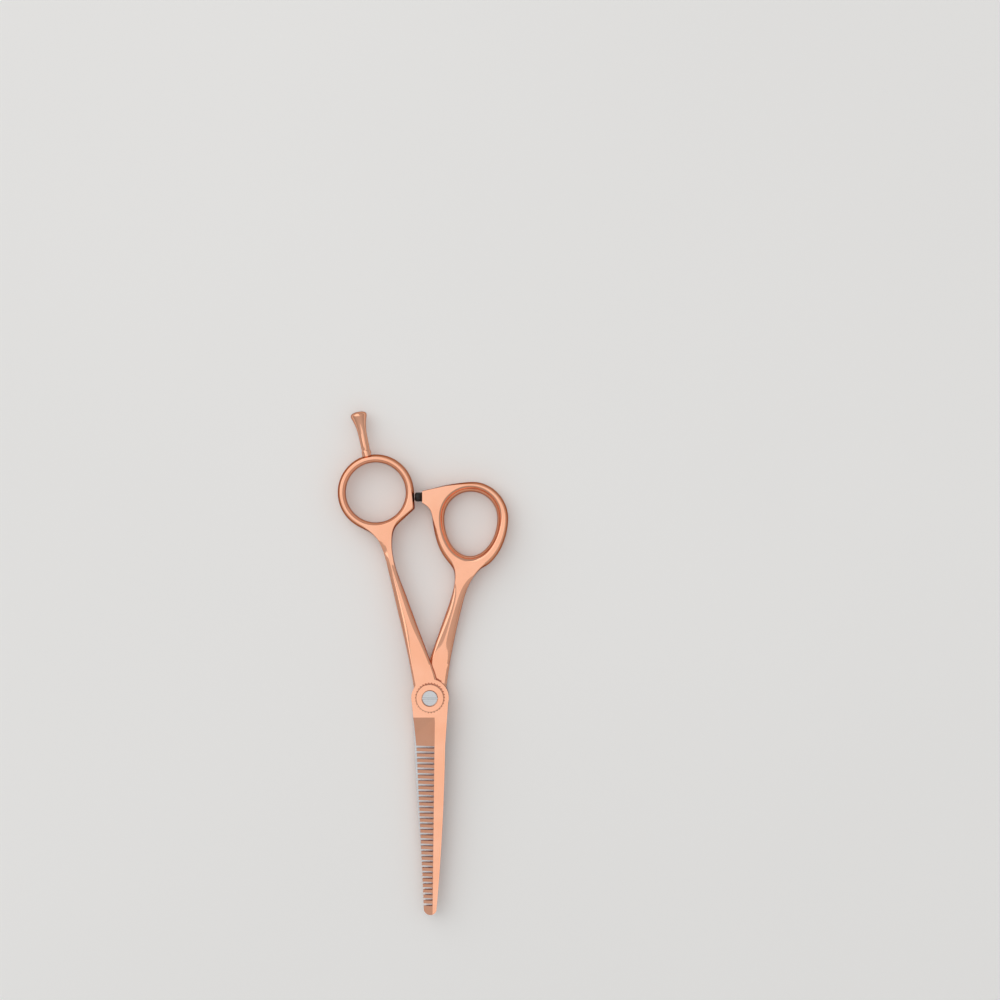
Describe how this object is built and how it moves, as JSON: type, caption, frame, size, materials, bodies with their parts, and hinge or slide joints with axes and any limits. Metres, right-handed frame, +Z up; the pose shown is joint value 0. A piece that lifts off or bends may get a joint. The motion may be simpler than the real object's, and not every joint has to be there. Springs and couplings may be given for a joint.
{
  "type": "thinning shears",
  "caption": "Hairdresser's thinning shears with a toothed blade over a plain blade, offset ring handles, a finger rest and a dial-tensioned pivot.",
  "frame": {"origin": "on the pivot axis, at the under-face of the pivot bolt's head, which the shears rest on", "axes": "+Y runs from the pivot to the handles, -Y to the blade tips, +Z up from the thumb half to the finger half"},
  "size_m": [0.0564, 0.1667, 0.0105],
  "materials": {
    "coated_steel": "mirror-polished rose-gold coating on stainless steel",
    "coated_blade_steel": "polished rose-gold coating with bare ground steel on the cutting and ride faces",
    "bare_steel": "fine ground stainless steel",
    "bearing_steel": "polished hardened steel",
    "cage_brass": "stamped brass",
    "bush_bronze": "sintered bronze",
    "slippery_plastic": "smooth white fluoropolymer",
    "black_rubber": "matt moulded rubber"
  },
  "bodies": {
    "finger_half": {"comb_blade": "coated_blade_steel", "finger_handle": "coated_steel", "finger_rest": "coated_steel", "pivot_bush": "bush_bronze", "lower_race": "bearing_steel"},
    "thumb_half": {"plain_blade": "coated_blade_steel", "thumb_handle": "coated_steel", "bumper": "black_rubber", "pivot_bolt": "coated_steel", "glide_washer": "slippery_plastic", "upper_race": "bearing_steel", "spring_washer": "bare_steel", "click_plate": "bare_steel", "dial_screw": "bare_steel"},
    "bearing": {"bearing_cage": "cage_brass", "bearing_balls": "bearing_steel"},
    "dial": {"tension_dial": "coated_steel", "click_ball": "bearing_steel", "click_spring": "bare_steel"}
  },
  "joints": [
    {"name": "blade_pivot", "type": "hinge", "parent": "finger_half", "child": "thumb_half", "pos_m": [0, 0, 0.00435], "axis": [0, 0, -1], "range_deg": [0, 120]},
    {"name": "bearing_turn", "type": "hinge", "parent": "finger_half", "child": "bearing", "pos_m": [0, 0, 0.0068], "axis": [0, 0, -1], "range_deg": [0, 60.5]},
    {"name": "dial_turn", "type": "hinge", "parent": "thumb_half", "child": "dial", "pos_m": [0, 0, 0.0095], "axis": [0, 0, -1], "range_deg": [-180, 180]}
  ],
  "couplings": [
    {"joint": "bearing_turn", "follows": "blade_pivot", "ratio": 0.5}
  ]
}
